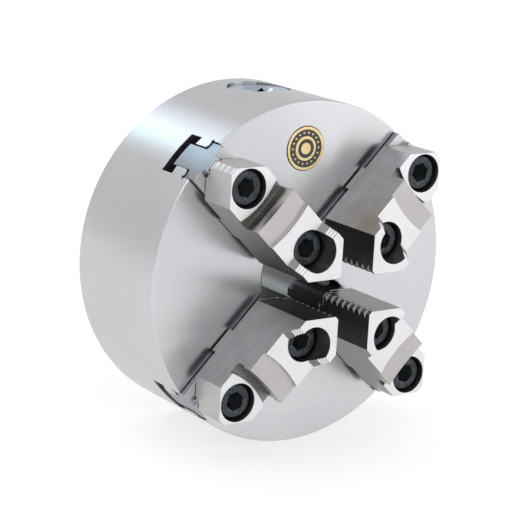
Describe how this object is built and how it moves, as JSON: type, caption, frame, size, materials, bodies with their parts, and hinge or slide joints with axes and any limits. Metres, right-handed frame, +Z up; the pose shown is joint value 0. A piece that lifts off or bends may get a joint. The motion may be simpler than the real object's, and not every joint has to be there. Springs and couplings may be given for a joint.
{
  "type": "lathe chuck",
  "caption": "Self-centring scroll chuck whose stepped two-piece jaws are drawn in and out together to grip round or square work by turning a key in a bevel pinion.",
  "frame": {"origin": "centre of the flat back rim on the spindle axis, where the chuck seats on the spindle flange", "axes": "+Y along the spindle axis from the front face to the back; -Y faces the work; +Z up through the top pinion; +X to the right as seen from the front"},
  "size_m": [0.16, 0.1048, 0.16],
  "materials": {
    "turned_steel": "fine-turned satin steel",
    "ground_steel": "ground hardened steel",
    "machined_steel": "milled steel",
    "black_oxide_steel": "black oxide",
    "brass": "polished brass"
  },
  "bodies": {
    "chuck": {"chuck_body": "turned_steel", "back_cover": "machined_steel", "cover_screw_1": "black_oxide_steel", "cover_screw_2": "black_oxide_steel", "cover_screw_3": "black_oxide_steel", "cover_screw_4": "black_oxide_steel", "cover_screw_5": "black_oxide_steel", "cover_screw_6": "black_oxide_steel", "face_badge": "brass", "pinion_stop_top": "black_oxide_steel", "pinion_stop_bottom": "black_oxide_steel"},
    "scroll": {"scroll_plate": "machined_steel"},
    "pinion_top": {"pinion_top": "machined_steel"},
    "pinion_bottom": {"pinion_bottom": "machined_steel"},
    "jaw_1": {"master_jaw_1": "machined_steel", "top_jaw_1": "ground_steel", "inner_jaw_screw_1": "black_oxide_steel", "outer_jaw_screw_1": "black_oxide_steel"},
    "jaw_2": {"master_jaw_2": "machined_steel", "top_jaw_2": "ground_steel", "inner_jaw_screw_2": "black_oxide_steel", "outer_jaw_screw_2": "black_oxide_steel"},
    "jaw_3": {"master_jaw_3": "machined_steel", "top_jaw_3": "ground_steel", "inner_jaw_screw_3": "black_oxide_steel", "outer_jaw_screw_3": "black_oxide_steel"},
    "jaw_4": {"master_jaw_4": "machined_steel", "top_jaw_4": "ground_steel", "inner_jaw_screw_4": "black_oxide_steel", "outer_jaw_screw_4": "black_oxide_steel"}
  },
  "joints": [
    {"name": "scroll_spin", "type": "hinge", "parent": "chuck", "child": "scroll", "pos_m": [0, -0.042, 0], "axis": [0, -1, 0], "range_deg": [-900, 495]},
    {"name": "pinion_top_spin", "type": "hinge", "parent": "chuck", "child": "pinion_top", "pos_m": [0, -0.0224, 0.0784], "axis": [0, 0, 1], "range_deg": [-2475, 4500]},
    {"name": "pinion_bottom_spin", "type": "hinge", "parent": "chuck", "child": "pinion_bottom", "pos_m": [0, -0.0224, -0.0784], "axis": [0, 0, -1], "range_deg": [-2475, 4500]},
    {"name": "jaw_1_slide", "type": "slide", "parent": "chuck", "child": "jaw_1", "axis": [0.7071, 0, 0.7071], "range_m": [-0.011, 0.02]},
    {"name": "jaw_2_slide", "type": "slide", "parent": "chuck", "child": "jaw_2", "axis": [-0.7071, 0, 0.7071], "range_m": [-0.011, 0.02]},
    {"name": "jaw_3_slide", "type": "slide", "parent": "chuck", "child": "jaw_3", "axis": [-0.7071, 0, -0.7071], "range_m": [-0.011, 0.02]},
    {"name": "jaw_4_slide", "type": "slide", "parent": "chuck", "child": "jaw_4", "axis": [0.7071, 0, -0.7071], "range_m": [-0.011, 0.02]}
  ],
  "couplings": [
    {"joint": "pinion_top_spin", "follows": "scroll_spin", "ratio": -5},
    {"joint": "pinion_bottom_spin", "follows": "scroll_spin", "ratio": -5},
    {"joint": "jaw_1_slide", "follows": "scroll_spin", "m_per_rad": -0.001273},
    {"joint": "jaw_2_slide", "follows": "scroll_spin", "m_per_rad": -0.001273},
    {"joint": "jaw_3_slide", "follows": "scroll_spin", "m_per_rad": -0.001273},
    {"joint": "jaw_4_slide", "follows": "scroll_spin", "m_per_rad": -0.001273}
  ]
}
